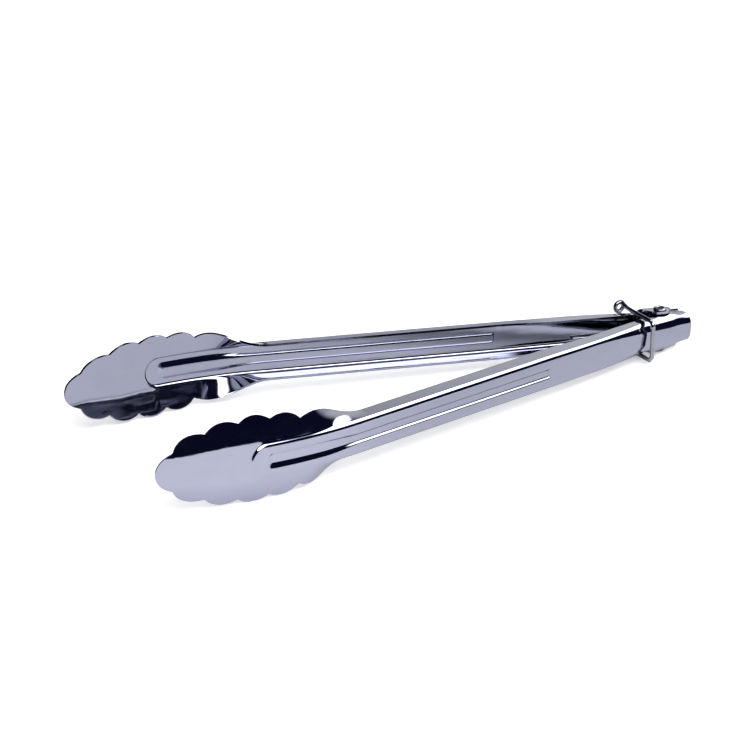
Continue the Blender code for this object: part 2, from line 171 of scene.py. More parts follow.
# ---- Settings a user would change ------------------------------------------------------------------------
class TongsSizes(bpy.types.PropertyGroup):
    sheet: FloatProperty(name="Sheet", description="Thickness of the stamped sheet", default=0.0010,
                         min=0.0005, max=0.0015, unit="LENGTH", precision=4)
    half_height: FloatProperty(name="Half height", description="Half the height of the channel",
                               default=0.0078, unit="LENGTH", precision=4)
    flange: FloatProperty(name="Flange", description="Depth of a flange, web's outer face to free edge",
                          default=0.0072, unit="LENGTH", precision=4)
    rounding: FloatProperty(name="Rounding", description="Height of the rounding along the arm",
                            default=0.0028, unit="LENGTH", precision=4)
    groove_depth: FloatProperty(name="Groove depth", description="Depth of the groove pressed in the web",
                                default=0.0011, unit="LENGTH", precision=4)
    scallop: FloatProperty(name="Scallop", description="How far a scallop stands out", default=0.0022,
                           unit="LENGTH", precision=4)
    edge: FloatProperty(name="Edge", description="Width of the softened edge of the sheet",
                        default=0.00016, unit="LENGTH", precision=5)
    ring_wire: FloatProperty(name="Ring wire", description="Diameter of the lock ring's wire",
                             default=0.0021, unit="LENGTH", precision=4)
    spring_wire: FloatProperty(name="Spring wire", description="Diameter of the spring's wire",
                               default=0.0015, unit="LENGTH", precision=4)


class TongsFinish(bpy.types.PropertyGroup):
    arm_colour: FloatVectorProperty(name="Arm", description="Colour of the polished sheet", subtype="COLOR",
                                    default=(0.45, 0.46, 0.575), min=0.0, max=1.0)
    rivet_colour: FloatVectorProperty(name="Rivet", description="Colour of the rivet", subtype="COLOR",
                                      default=(0.42, 0.42, 0.49), min=0.0, max=1.0)
    spring_colour: FloatVectorProperty(name="Spring", description="Colour of the spring", subtype="COLOR",
                                       default=(0.36, 0.36, 0.39), min=0.0, max=1.0)
    ring_colour: FloatVectorProperty(name="Ring", description="Colour of the lock ring", subtype="COLOR",
                                     default=(0.42, 0.42, 0.47), min=0.0, max=1.0)


class TongsStudio(bpy.types.PropertyGroup):
    softbox: FloatProperty(name="Softbox", description="Brightness of the softbox", default=5.0, min=0.0)
    room: FloatVectorProperty(name="Room", description="Colour of the dark room", subtype="COLOR",
                              default=(0.006, 0.006, 0.022), min=0.0, max=1.0)
    back_wall: FloatVectorProperty(name="Back wall", description="Colour of the wall behind", subtype="COLOR",
                                   default=(0.50, 0.51, 0.56), min=0.0, max=1.0)
    floor_colour: FloatVectorProperty(name="Floor", description="Colour of the floor", subtype="COLOR",
                                      default=(0.90, 0.90, 0.90), min=0.0, max=1.0)
    floor_glow: FloatProperty(name="Floor glow", description="Light that comes through the floor",
                              default=0.42, min=0.0)
    card_colour: FloatVectorProperty(name="Card", description="Colour of the floor as the steel shows it",
                                     subtype="COLOR", default=(0.94, 0.94, 0.95), min=0.0, max=1.0)
    overhead: FloatProperty(name="Overhead", description="Power of the overhead light", default=14.0,
                            min=0.0, unit="POWER")


# ---- Small helpers ---------------------------------------------------------------------------------------
def ramp(value, start, end):
    """0 at start, 1 at end, smooth between: three times the share squared less twice its cube."""
    t = np.clip((np.asarray(value, float) - start) / (end - start), 0.0, 1.0)
    return t * t * (3.0 - 2.0 * t)


def mix(a, b, share):
    """a where the share is 0 and b where it is 1."""
    return a + (b - a) * share


def running_sum(values):
    """Trapezium rule along the last axis, from 0."""
    means = 0.5 * (values[..., 1:] + values[..., :-1])
    return np.concatenate([np.zeros_like(values[..., :1]), np.cumsum(means, axis=-1)], axis=-1)


def unit(vectors):
    """The same directions, one long."""
    return vectors / np.linalg.norm(vectors, axis=-1, keepdims=True)


def turned_z(points, angle):
    """Points turned about the z axis."""
    c, s = math.cos(angle), math.sin(angle)
    return points @ np.array([[c, s, 0.0], [-s, c, 0.0], [0.0, 0.0, 1.0]])


def new_piece(name, points, faces, uv=None):
    """A smooth mesh object at the origin from points and faces; uv holds one pair for each point."""
    mesh = bpy.data.meshes.new(name)
    mesh.from_pydata(points, [], faces)
    mesh.shade_smooth()
    if uv is not None:
        corners = np.empty(len(mesh.loops), np.int32)
        mesh.loops.foreach_get("vertex_index", corners)
        mesh.uv_layers.new(name="Sheet").data.foreach_set("uv", uv[corners].astype(np.float32).ravel())
    mesh.validate()
    obj = bpy.data.objects.new(name, mesh)
    bpy.context.scene.collection.objects.link(obj)
    return obj


def grid_faces(rows, columns, wrap=False):
    """Quads of a grid of points laid out row by row; wrap joins the last column to the first."""
    first = np.arange(rows - 1)[:, None] * columns
    j = np.arange(columns if wrap else columns - 1)[None, :]
    k = (j + 1) % columns
    return np.stack([first + j, first + columns + j, first + columns + k, first + k], axis=-1).reshape(-1, 4)


def fan(centre, start, count, forward=True):
    """Triangles from a centre to the ring of points that begins at start, wound either way."""
    here = np.arange(count)
    after = (here + 1) % count
    pair = (here, after) if forward else (after, here)
    return np.column_stack([np.full_like(here, centre), start + pair[0], start + pair[1]]).tolist()


# ---- Materials -------------------------------------------------------------------------------------------
def node_group(name, inputs, outputs):
    """An empty shader group with its sockets, and its two end nodes."""
    group = bpy.data.node_groups.new(name, "ShaderNodeTree")
    for label, kind, value in inputs:
        socket = group.interface.new_socket(label, in_out="INPUT", socket_type=kind)
        if value is not None:
            socket.default_value = value
    for label, kind in outputs:
        group.interface.new_socket(label, in_out="OUTPUT", socket_type=kind)
    return group, group.nodes.new("NodeGroupInput"), group.nodes.new("NodeGroupOutput")


def math_node(tree, operation, a, b=None):
    node = tree.nodes.new("ShaderNodeMath")
    node.operation = operation
    for socket, value in zip(node.inputs, (a, b)):
        if isinstance(value, bpy.types.NodeSocket):
            tree.links.new(value, socket)
        elif value is not None:
            socket.default_value = value
    return node.outputs[0]


def map_range(tree, value, low, high, to_low, to_high, smooth=False):
    node = tree.nodes.new("ShaderNodeMapRange")
    node.interpolation_type = "SMOOTHSTEP" if smooth else "LINEAR"
    tree.links.new(value, node.inputs["Value"])
    names = ("From Min", "From Max", "To Min", "To Max")
    for name, number in zip(names, (low, high, to_low, to_high)):
        if isinstance(number, bpy.types.NodeSocket):
            tree.links.new(number, node.inputs[name])
        else:
            node.inputs[name].default_value = number
    return node.outputs[0]


def noise(tree, vector, scale, detail=3.0, roughness=0.5):
    node = tree.nodes.new("ShaderNodeTexNoise")
    node.inputs["Scale"].default_value = scale
    node.inputs["Detail"].default_value = detail
    node.inputs["Roughness"].default_value = roughness
    tree.links.new(vector, node.inputs["Vector"])
    return node.outputs["Fac"]


def stretched(tree, vector, scale):
    """The coordinates times a scale along each axis."""
    node = tree.nodes.new("ShaderNodeMapping")
    node.inputs["Scale"].default_value = scale
    tree.links.new(vector, node.inputs["Vector"])
    return node.outputs[0]


def polish_group():
    """Handling marks on polished metal: fine streaks along the first coordinate, soft smears, and a slow
    waviness. It puts out a roughness, a height and a tint mask."""
    found = bpy.data.node_groups.get("Polish")
    if found:
        return found
    inputs = [("Vector", "NodeSocketVector", None), ("Low Roughness", "NodeSocketFloat", 0.03),
              ("High Roughness", "NodeSocketFloat", 0.12), ("Streaks", "NodeSocketFloat", 1.0)]
    outputs = [("Roughness", "NodeSocketFloat"), ("Height", "NodeSocketFloat"), ("Mask", "NodeSocketFloat")]
    group, given, result = node_group("Polish", inputs, outputs)
    vector = given.outputs["Vector"]
    streaks = noise(group, stretched(group, vector, STREAKS), 1.0, 4.0, 0.6)
    scratches = noise(group, stretched(group, vector, SCRATCHES), 1.0, 2.0, 0.5)
    smears = noise(group, stretched(group, vector, SMEARS), 1.0, 3.0, 0.55)
    waves = noise(group, stretched(group, vector, WAVES), 1.0, 1.0, 0.4)
    smear = map_range(group, smears, 0.42, 0.70, 0.0, 1.0, smooth=True)
    streak = map_range(group, streaks, 0.50, 0.72, 0.0, 1.0, smooth=True)
    scratch = map_range(group, scratches, 0.66, 0.72, 0.0, 1.0, smooth=True)
    fine = math_node(group, "MAXIMUM", streak, scratch)
    marks = math_node(group, "MULTIPLY", fine, given.outputs["Streaks"])
    both = math_node(group, "ADD", math_node(group, "MULTIPLY", smear, SMEAR_SHARE),
                     math_node(group, "MULTIPLY", marks, MARK_SHARE))
    worn = math_node(group, "MINIMUM", both, 1.0)
    low, high = given.outputs["Low Roughness"], given.outputs["High Roughness"]
    roughness = map_range(group, worn, 0.0, 1.0, low, high)
    height = math_node(group, "ADD", waves, math_node(group, "MULTIPLY", marks, MARK_HEIGHT))
    group.links.new(roughness, result.inputs["Roughness"])
    group.links.new(height, result.inputs["Height"])
    group.links.new(worn, result.inputs["Mask"])
    return group


def polished_steel(name, colour, polish_values, coordinates="Object"):
    """Bright steel: the polish group varies its roughness, tints its smears and waves its reflections."""
    low, high, streaks, wave_height = polish_values
    material = bpy.data.materials.new(name)
    material.use_nodes = True
    material.diffuse_color = (*colour, 1.0)
    tree = material.node_tree
    shader = tree.nodes["Principled BSDF"]
    shader.inputs["Metallic"].default_value = 1.0
    place = tree.nodes.new("ShaderNodeTexCoord")
    polish = tree.nodes.new("ShaderNodeGroup")
    polish.node_tree = polish_group()
    polish.inputs["Low Roughness"].default_value = low
    polish.inputs["High Roughness"].default_value = high
    polish.inputs["Streaks"].default_value = streaks
    tree.links.new(place.outputs[coordinates], polish.inputs["Vector"])
    tree.links.new(polish.outputs["Roughness"], shader.inputs["Roughness"])
    tint = tree.nodes.new("ShaderNodeMix")
    tint.data_type = "RGBA"
    tint.inputs["A"].default_value = (*colour, 1.0)
    tint.inputs["B"].default_value = (*(TINT * c for c in colour), 1.0)
    tree.links.new(polish.outputs["Mask"], tint.inputs["Factor"])
    tree.links.new(tint.outputs["Result"], shader.inputs["Base Color"])
    bump = tree.nodes.new("ShaderNodeBump")
    bump.inputs["Distance"].default_value = wave_height
    tree.links.new(polish.outputs["Height"], bump.inputs["Height"])
    tree.links.new(bump.outputs["Normal"], shader.inputs["Normal"])
    return material


def pale_floor(studio):
    """A pale sheet, softly lit through from below. What the steel shows of it is a dimmer floor with a
    painted pool of light and painted shade round it, which ends to the left of the heads in a painted dark
    reflection."""
    material = bpy.data.materials.new("pale_floor")
    material.use_nodes = True
    tree = material.node_tree
    shader = tree.nodes["Principled BSDF"]
    shader.inputs["Roughness"].default_value = 0.8
    shader.inputs["Specular IOR Level"].default_value = 0.1
    place = tree.nodes.new("ShaderNodeTexCoord").outputs["Object"]
    grain = noise(tree, place, 3.0, 2.0)
    split = tree.nodes.new("ShaderNodeSeparateXYZ")
    tree.links.new(place, split.inputs[0])
    # painted dark reflection: left of the heads the steel shows the room's dark colour instead of the floor
    beyond_painted_dark = map_range(tree, split.outputs["X"], *REFLECTED_DARK_END, 0.0, 1.0, smooth=True)
    # painted pool of light on the floor the steel shows, with painted shade round it
    painted_pool = facing(tree, place, PAINTED_POOL_BEARING, PAINTED_POOL_EDGE)
    path = tree.nodes.new("ShaderNodeLightPath")
    in_steel = path.outputs["Is Glossy Ray"]
    paper = colour_mix(tree, grain, studio.floor_colour, [0.985 * c for c in studio.floor_colour])
    floor_in_painted_pool = colour_mix(tree, painted_pool, [PAINTED_POOL_SHADE * c for c in studio.card_colour], studio.card_colour)
    mirrored = colour_mix(tree, beyond_painted_dark, studio.room, floor_in_painted_pool)
    # painted shade: past a few reflections the floor the steel shows is painted with the room's dark colour
    mirrored = colour_mix(tree, painted_bounce_shade(tree, path), mirrored, studio.room)
    tree.links.new(colour_mix(tree, in_steel, paper, mirrored), shader.inputs["Base Color"])
    glow = colour_mix(tree, in_steel, [studio.floor_glow] * 3, (0.0, 0.0, 0.0))
    tree.links.new(glow, shader.inputs["Emission Color"])
    shader.inputs["Emission Strength"].default_value = 1.0
    return material


# ---- The arm ---------------------------------------------------------------------------------------------
def centreline(stations):
    """Where the web's outer face runs: distance forward, distance out, and direction.

    The direction is the splay, ramped in near the hinge, less the head's bend, which grows evenly over the
    head. Forward and out are the running sums of its cosine and sine.
    """
    s = np.arange(-0.03, 0.31, LINE_STEP)
    bent = np.clip((s - HEAD_BEND_FROM) / (HEAD_BEND_TO - HEAD_BEND_FROM), 0.0, 1.0)
    angle = SPLAY * ramp(s, SPLAY_FROM, SPLAY_TO) - HEAD_BEND * bent
    forward = running_sum(np.cos(angle)) * LINE_STEP
    out = running_sum(np.sin(angle)) * LINE_STEP
    forward -= np.interp(0.0, s, forward)
    out += WEB_OFFSET - np.interp(0.0, s, out)
    return np.interp(stations, s, forward), np.interp(stations, s, out), np.interp(stations, s, angle)


def outline(scallop):
    """Stations and half heights of the head's edge, from the last dip to the tip.

    The edge is an ellipse, and between two dips it stands out along the ellipse's radius by four times the
    scallop's height times the share of the way across times the share left.
    """
    lows = np.concatenate([[-DIP_ANGLES[0]], DIP_ANGLES[:-1]])
    angles = np.linspace(DIP_ANGLES[-1], TIP_ANGLE, OUTLINE_POINTS)
    here = np.clip(np.searchsorted(DIP_ANGLES, angles), 0, len(DIP_ANGLES) - 1)
    share = (angles - lows[here]) / (DIP_ANGLES[here] - lows[here])
    bulge = 4.0 * share * (1.0 - share) * scallop
    across, along = ELLIPSE_HEIGHT * np.cos(angles), ELLIPSE_LENGTH * np.sin(angles)
    size = np.hypot(across, along)
    stations = ELLIPSE_CENTRE + ELLIPSE_LENGTH * np.cos(angles) + bulge * across / size
    return stations, ELLIPSE_HEIGHT * np.sin(angles) + bulge * along / size


def row_stations(edge_stations):
    """Stations of the grid's rows, closer together where the sheet changes quickly."""
    dip, tip = edge_stations[0], edge_stations[-1]
    tip_from, pad_from = tip - 0.0060, PAD_END - PAD_RADIUS - 0.0030
    spans = (                              # start, end and spacing
        (REAR, NOTCH_FROM, 0.0006),
        (NOTCH_FROM + 0.0004, 0.0180, 0.0005),
        (0.0190, GROOVE_FROM - 0.0015, 0.0030),
        (GROOVE_FROM - 0.0012, GROOVE_FROM + 0.0006, 0.0002),
        (GROOVE_FROM + 0.0020, WING_FROM, 0.0040),
        (WING_FROM, dip - 0.0004, 0.0008),
        (dip, pad_from, 0.0008),
        (pad_from, PAD_END + 0.0006, 0.0003),
        (PAD_END + 0.0010, tip_from, 0.0008),
    )
    notch = [NOTCH_FROM - 0.00002, NOTCH_FROM + 0.00002]
    dips = ELLIPSE_CENTRE + ELLIPSE_LENGTH * np.cos(DIP_ANGLES)
    closing = tip - (tip - tip_from) * (1.0 - np.linspace(0.0, 1.0, 22)) ** 2
    runs = [np.arange(*span) for span in spans]
    stations = np.unique(np.round(np.concatenate([*runs, notch, closing, dips]), 6))
    keep = np.concatenate([[True], np.diff(stations) > ROW_LEAST])
    return stations[keep]


def sections(s, size, joggled):
    """Height and depth inward of every section's half, sampled evenly along its arc: one row for a station.

    The slope is 0 over the web, rises as a power of the share of the way round the corner, and then stays
    close to square along a flange, or falls back and rises slowly over a wing. Height and depth are the
    running sums of its cosine and sine.
    """
    arc = np.arange(0.0, ARC_END, ARC_STEP)[None, :]
    share = np.linspace(0.0, 1.0, 401)
    round_share = float(np.mean(np.cos(0.5 * math.pi * share**ROUND_POWER)))
    wing = ramp(s, WING_FROM, WING_FULL)[:, None]
    tall = (size.half_height - REAR_TAPER * (1.0 - ramp(s, REAR, TAPER_END)))[:, None]
    height = mix(ROUND_REAR, size.rounding, ramp(s, ROUND_FROM, ROUND_TO))[:, None] + tall - size.half_height
    web = tall - height
    if joggled:
        web = web + JOGGLE * (1.0 - ramp(s, JOGGLE_FULL, JOGGLE_END)[:, None])
    turn = mix(height / round_share, STEP_LENGTH, wing)
    right = 0.5 * math.pi - FLARE * ramp(s, FLARE_FROM, FLARE_TO)[:, None]
    step, beside, edge = (mix(right, angle, wing) for angle in (STEP_ANGLE, WING_ANGLE, EDGE_ANGLE))
    rising = step * np.clip((arc - web) / turn, 0.0, 1.0) ** ROUND_POWER
    past = arc - web - turn
    easing = mix(step, beside, ramp(past, 0.0, STEP_RELAX))
    out_share = np.clip((past - STEP_RELAX) / (WING_WIDTH - web - turn - STEP_RELAX), 0.0, 1.5)
    beyond = np.where(past < STEP_RELAX, easing, beside + (edge - beside) * out_share)
    slope = np.where(past < 0.0, rising, beyond)
    return running_sum(np.cos(slope)) * ARC_STEP, running_sum(np.sin(slope)) * ARC_STEP, web, turn


def sampled(table, arc):
    """Values of a table of rows, evenly sampled along the arc, at each row's own places."""
    place = np.clip(arc / ARC_STEP, 0, table.shape[1] - 2)
    low = place.astype(int)
    left = np.take_along_axis(table, low, axis=1)
    return left + (np.take_along_axis(table, low + 1, axis=1) - left) * (place - low)


def crossing(table, value):
    """Where along the arc each rising row first reaches its value."""
    below = np.clip((table < value[:, None]).sum(axis=1) - 1, 0, table.shape[1] - 2)
    left = np.take_along_axis(table, below[:, None], axis=1)[:, 0]
    right = np.take_along_axis(table, below[:, None] + 1, axis=1)[:, 0]
    share = np.clip((value - left) / np.maximum(right - left, 1e-12), 0.0, 1.0)
    return (below + share) * ARC_STEP


def blade(s, height):
    """Depth of the blade in front of the pad: flat, then a parabola up to its angle, then straight. The flat
    is narrower towards the tip."""
    turned = BLADE_TURNED - BLADE_FLAT
    flat = BLADE_FLAT - BLADE_NARROWS * ramp(s, BLADE_NARROWS_FROM, BLADE_NARROWS_TO)[:, None]
    rise = np.maximum(height - flat, 0.0)
    curved = np.minimum(rise, turned) ** 2 / (2.0 * turned) + np.maximum(rise - turned, 0.0)
    return BLADE_DEPTH + math.tan(BLADE_ANGLE) * curved


def pad_end(s, height):
    """1 in front of the pad's round end and 0 on the pad: a smooth step on the distance from its centre."""
    ahead = np.maximum(s[:, None] - (PAD_END - PAD_RADIUS), 0.0)
    distance = np.hypot(ahead, height)
    return ramp(distance, PAD_RADIUS - PAD_EDGE, PAD_RADIUS) * ramp(ahead, 0.0, PAD_FADE)


def half_length(s, edge_height, size, joggled, height, in_corner, corner):
    """Arc from the middle of the web to the free edge of every section's half.

    Along the arm it is the corner and what is left of the flange's depth, which is deeper at the ear. It
    widens to the head's root and falls by a square law. In the head it ends where the section meets the
    outline.
    """
    ear = 1.0 - ramp(np.abs(s), EAR_HALF_WIDTH, EAR_HALF_WIDTH + EAR_BLEND)
    flange = size.flange + (WEB_OFFSET + EAR_REACH - size.flange) * ear
    in_arm = corner + np.maximum(flange - in_corner, 0.0005)
    length = mix(in_arm, ROOT_LENGTH, ramp(s, WING_FROM, ROOT_WIDEST))
    length = length - ROOT_FALL * (np.maximum(s - ROOT_WIDEST, 0.0) / (WING_FULL - ROOT_WIDEST)) ** 2
    in_head = crossing(height, np.nan_to_num(edge_height))
    length = np.where(np.isnan(edge_height), length, in_head)
    if joggled:
        notch = crossing(height, np.full(len(s), NOTCH_HALF_HEIGHT))
        length = np.where(s < NOTCH_FROM, np.minimum(length, notch), length)
    return length


def groove_share(s, height, edge):
    """1 on the groove's floor and 0 outside it, smooth over its sides and its ends."""
    side = 1.0 - ramp(height, GROOVE_FLOOR, edge)
    rear = ramp(s, GROOVE_FROM - GROOVE_RAMP, GROOVE_FROM)
    front = 1.0 - ramp(s, GROOVE_TO - GROOVE_RUNOUT, GROOVE_TO)
    full = mix(GROOVE_SHALLOW, 1.0, ramp(s, GROOVE_WIDEN_FROM, GROOVE_WIDEN_TO))
    return side * (rear * front * full)[:, None]


def half_rows(s, edge_height, size, joggled):
    """Height, depth inward and arc of every half row's points, from the middle to the edge."""
    height, depth, web, turn = sections(s, size, joggled)
    corner = web + turn
    in_corner = sampled(depth, corner)[:, 0]
    length = half_length(s, edge_height, size, joggled, height, in_corner, corner[:, 0])[:, None]
    groove = mix(GROOVE_EDGE, GROOVE_WIDE, ramp(s, GROOVE_WIDEN_FROM, GROOVE_WIDEN_TO))[:, None]
    end = np.maximum(length, corner + 0.004)
    stops = (0.0 * groove, GROOVE_REACH * groove, np.maximum(web, WEB_REACH * groove), corner,
             np.minimum(corner + STEP_RELAX, end), end)
    runs = [mix(start, stop, np.linspace(0.0, 1.0, count, endpoint=False)[None, :])
            for start, stop, count in zip(stops[:-1], stops[1:], ROW_POINTS)]
    arc = np.concatenate([*runs, end], axis=1) * (length / end)
    z, d = sampled(height, arc), sampled(depth, arc)
    pressed = size.groove_depth * groove_share(s, z, groove)
    return z, mix(d, blade(s, z), pad_end(s, z)) + pressed, arc


def arm_surface(size):
    """The outer face of an arm as a grid of points about the rivet, its faces, and its station and arc.

    A point stands on the centreline, moved inward by its depth square to the centreline, at its height.
    """
    edge_stations, edge_heights = outline(size.scallop)
    s = row_stations(edge_stations)
    edge = np.where(s < edge_stations[0], np.nan, np.interp(s, edge_stations, edge_heights))
    forward, out, angle = (values[:, None] for values in centreline(s))
    upper_z, upper_d, upper_arc = half_rows(s, edge, size, True)
    lower_z, lower_d, lower_arc = half_rows(s, edge, size, False)
    z = np.concatenate([-lower_z[:, :0:-1], upper_z], axis=1)
    d = np.concatenate([lower_d[:, :0:-1], upper_d], axis=1)
    arc = np.concatenate([-lower_arc[:, :0:-1], upper_arc], axis=1)
    x = -(forward + d * np.sin(angle))
    y = out - d * np.cos(angle)
    points = np.stack([x, y, z], axis=-1).reshape(-1, 3)
    uv = np.stack([np.broadcast_to(s[:, None], arc.shape), arc], axis=-1).reshape(-1, 2)
    return points, grid_faces(*z.shape), uv


def drilled(points, faces):
    """Leaves out the faces over the ears' holes and pulls the corners round them onto the circle."""
    radius = np.hypot(points[:, 0], points[:, 1])
    inside = radius < EAR_HOLE_RADIUS * HOLE_REACH
    left_out = inside[faces].any(axis=1)
    rim = np.zeros(len(points), bool)
    rim[faces[left_out]] = True
    rim[inside] = False
    pulled = points.copy()
    pulled[rim, :2] *= (EAR_HOLE_RADIUS / radius[rim])[:, None]
    faces = faces[~left_out]
    used, places = np.unique(faces, return_inverse=True)
    return pulled[used], places.reshape(-1, 4), used


def build_arm(name, body, flipped, size, finish):
    """Half a turn about x makes the left arm out of the right one; then it is turned open and placed."""
    points, faces, uv = arm_surface(size)
    points, faces, used = drilled(points, faces)
    if flipped:
        points = points * np.array([1.0, -1.0, -1.0])
    points = turned_z(points, OPEN_ANGLE if flipped else -OPEN_ANGLE) + PIVOT
    arm = new_piece(name, points, faces, uv[used])
    arm.data.materials.append(polished_steel(name + "_steel", finish.arm_colour, ARM_POLISH, "UV"))
    sheet = arm.modifiers.new("Sheet", "SOLIDIFY")
    sheet.thickness = size.sheet
    sheet.offset = -1.0
    sheet.use_even_offset = True
    sheet.use_quality_normals = True
    edge = arm.modifiers.new("Edge", "BEVEL")
    edge.width = size.edge
    edge.segments = 2
    edge.limit_method = "ANGLE"
    edge.angle_limit = math.radians(55.0)
    edge.harden_normals = False
    arm.modifiers.new("Normals", "WEIGHTED_NORMAL").keep_sharp = True
    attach(arm, body)
    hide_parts(name.replace("_skin", ""))
    return arm


class BuildArms(bpy.types.Operator):
    """Build both stamped arms with their channels, grooves, pads and scalloped heads"""

    bl_idname = "tongs.build_arms"
    bl_label = "Arms"

    def execute(self, context):
        size, finish = context.scene.tongs_sizes, context.scene.tongs_finish
        build_arm("right_arm_skin", "right", False, size, finish)
        build_arm("left_arm_skin", "left", True, size, finish)
        return {"FINISHED"}


# ---- Rivet -----------------------------------------------------------------------------------------------
def rivet_profile(half_height):
    """Radius and height of the rivet's outline from the floor of its bore to the middle of its lower head."""
    ear = half_height + JOGGLE + GAP
    top = ear + RIVET_RIM_HEIGHT
    deep = top - RIVET_BORE_DEPTH
    floor = [(1e-6, deep), (RIVET_BORE_RADIUS - RIVET_FLOOR_INSET, deep),
             (RIVET_BORE_RADIUS, deep + RIVET_FLOOR_RISE)]
    middle = 0.5 * (RIVET_RIM_RADIUS + RIVET_BORE_RADIUS)
    half = 0.5 * (RIVET_RIM_RADIUS - RIVET_BORE_RADIUS)
    roll = np.linspace(0.0, math.pi, CURVE_POINTS)
    rim = np.column_stack([middle - half * np.cos(roll), top - RIVET_ROLL + RIVET_ROLL * np.sin(roll)])
    shank = [(RIVET_RIM_RADIUS, ear), (RIVET_RADIUS, ear), (RIVET_RADIUS, -ear), (RIVET_HEAD_RADIUS, -ear)]
    lip = -ear - RIVET_LIP
    dome = np.linspace(0.0, 0.5 * math.pi, CURVE_POINTS)
    crown = lip + (RIVET_LIP - RIVET_HEAD_HEIGHT) * np.sin(dome)
    head = np.column_stack([RIVET_HEAD_RADIUS * np.cos(dome), crown])
    return np.concatenate([floor, rim, shank, head])


class BuildRivet(bpy.types.Operator):
    """Build the hinge rivet, a profile turned about the hinge's axis"""

    bl_idname = "tongs.build_rivet"
    bl_label = "Rivet"

    def execute(self, context):
        profile = rivet_profile(context.scene.tongs_sizes.half_height)
        around = np.linspace(0.0, 2.0 * math.pi, RIVET_SIDES, endpoint=False)[None, :]
        r, z = profile[:, :1], profile[:, 1:]
        points = np.stack([r * np.cos(around), r * np.sin(around), z + 0.0 * around], axis=-1).reshape(-1, 3)
        count = len(points)
        ends = np.array([[0.0, 0.0, profile[0, 1]], [0.0, 0.0, profile[-1, 1]]])
        quads = grid_faces(len(profile), RIVET_SIDES, wrap=True).tolist()
        last = count - RIVET_SIDES
        caps = fan(count, 0, RIVET_SIDES) + fan(count + 1, last, RIVET_SIDES, forward=False)
        rivet = new_piece("rivet_skin", np.concatenate([points, ends]) + PIVOT, quads + caps)
        rivet.data.set_sharp_from_angle(angle=math.radians(40.0))
        finish = context.scene.tongs_finish
        rivet.data.materials.append(polished_steel("rivet_steel", finish.rivet_colour, RIVET_POLISH))
        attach(rivet, "hinge")
        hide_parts("hinge_rivet")
        return {"FINISHED"}


# ---- Wires -----------------------------------------------------------------------------------------------
def tube(name, path, radius, reference):
    """A round wire along a path, with domed ends. Each ring of points stands square to the path, and is
    turned by the cross product of the path's direction and the reference, which must never be parallel."""
    path = np.asarray(path, float)
    along = unit(np.gradient(path, axis=0))
    dome = np.array([0.92, 0.71, 0.38])
    reach, inset = radius * dome, np.sqrt(1.0 - dome**2)
    start = path[0] - along[0] * reach[:, None]
    end = path[-1] + along[-1] * reach[::-1, None]
    centres = np.concatenate([start, path, end])
    along = np.concatenate([np.repeat(along[:1], 3, axis=0), along, np.repeat(along[-1:], 3, axis=0)])
    radii = radius * np.concatenate([inset, np.ones(len(path)), inset[::-1]])
    side = unit(np.cross(along, np.asarray(reference, float)))
    up = np.cross(side, along)
    around = np.linspace(0.0, 2.0 * math.pi, WIRE_SIDES, endpoint=False)[None, :, None]
    ring = np.cos(around) * side[:, None, :] + np.sin(around) * up[:, None, :]
    points = (centres[:, None, :] + radii[:, None, None] * ring).reshape(-1, 3)
    tips = np.array([path[0] - along[0] * radius, path[-1] + along[-1] * radius])
    count = len(points)
    quads = grid_faces(len(centres), WIRE_SIDES, wrap=True)[:, ::-1].tolist()
    caps = fan(count, 0, WIRE_SIDES, forward=False) + fan(count + 1, count - WIRE_SIDES, WIRE_SIDES)
    return new_piece(name, np.concatenate([points, tips]) + PIVOT, quads + caps)


def rounded(points, per_span):
    """A smooth curve through the points: each span is the cubic whose end slopes are half the difference of
    the points on either side (Catmull and Rom's rule)."""
    p = np.asarray(points, float)
    p = np.concatenate([2 * p[:1] - p[1:2], p, 2 * p[-1:] - p[-2:-1]])
    t = np.linspace(0.0, 1.0, per_span, endpoint=False)[None, :, None]
    a, b, c, d = (p[i:len(p) - 3 + i, None, :] for i in range(4))
    spans = 0.5 * (2 * b + (c - a) * t + (2 * a - 5 * b + 4 * c - d) * t**2 + (3 * b - a - 3 * c + d) * t**3)
    return np.concatenate([spans.reshape(-1, 3), p[-2:-1]])


def arc_points(centre, radius, start, end, count):
    """Points round a circle from one angle in degrees to another."""
    angles = np.radians(np.linspace(start, end, count))
    return np.column_stack([centre[0] + radius * np.cos(angles), centre[1] + radius * np.sin(angles)])


def spring_paths(wire, sheet):
    """The paths of the coil and of the two legs. A leg leaves the coil by a tangent, and its path starts
    with the coil's last stretch."""
    forward, out, _ = centreline(np.array([SPRING_LEG_END]))
    reach_out = float(out[0]) - sheet - GAP - wire / 2
    distance = math.hypot(float(forward[0]), reach_out)
    lean = math.atan2(reach_out, float(forward[0])) - math.asin(SPRING_RADIUS / distance) + OPEN_ANGLE
    leg = math.sqrt(distance**2 - SPRING_RADIUS**2)
    total = math.pi - 2 * lean + 2 * math.pi * SPRING_TURNS
    turned = np.linspace(0.0, total, COIL_POINTS * SPRING_TURNS + COIL_POINTS // 2 + 1)
    angle = 0.5 * math.pi - lean - turned
    level = SPRING_HALF_HEIGHT * (2.0 * turned / total - 1.0)
    coil = np.column_stack([SPRING_RADIUS * np.cos(angle), SPRING_RADIUS * np.sin(angle), level])
    shares = np.linspace(0.0, 1.0, LEG_POINTS)[1:, None]
    first = coil[0] + leg * shares * np.array([-math.cos(lean), math.sin(lean), 0.0])
    last = coil[-1] + leg * shares * np.array([-math.cos(lean), -math.sin(lean), 0.0])
    upper = np.concatenate([coil[:LEG_OVERLAP][::-1], first])
    lower = np.concatenate([coil[-LEG_OVERLAP:], last])
    return coil[LEG_OVERLAP - 1:1 - LEG_OVERLAP], upper, lower


